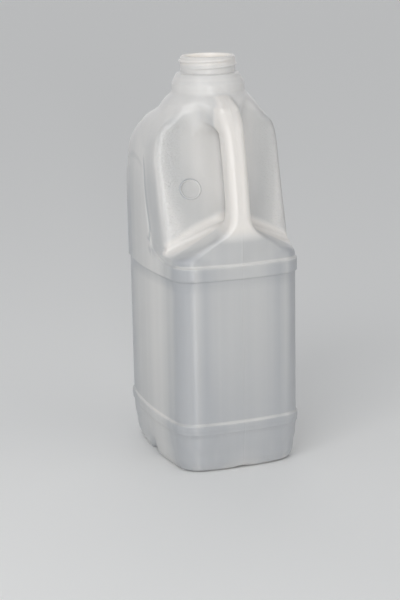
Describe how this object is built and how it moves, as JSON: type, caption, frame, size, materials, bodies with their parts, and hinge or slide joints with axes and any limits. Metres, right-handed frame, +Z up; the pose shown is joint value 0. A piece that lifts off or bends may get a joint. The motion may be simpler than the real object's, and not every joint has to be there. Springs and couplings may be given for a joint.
{
  "type": "plastic milk bottle",
  "caption": "Tall blow-moulded milk bottle with a hollow front handle, a band above and below the label panel, and an open screw neck.",
  "frame": {"origin": "centre of the underside, on the surface the bottle stands on", "axes": "+Z up along the neck, -Y towards the handle, X across the bottle"},
  "size_m": [0.0974, 0.12, 0.2775],
  "materials": {
    "bottle": "milky translucent, soft satin"
  },
  "bodies": {
    "root": {"bottle": "bottle"}
  },
  "joints": []
}
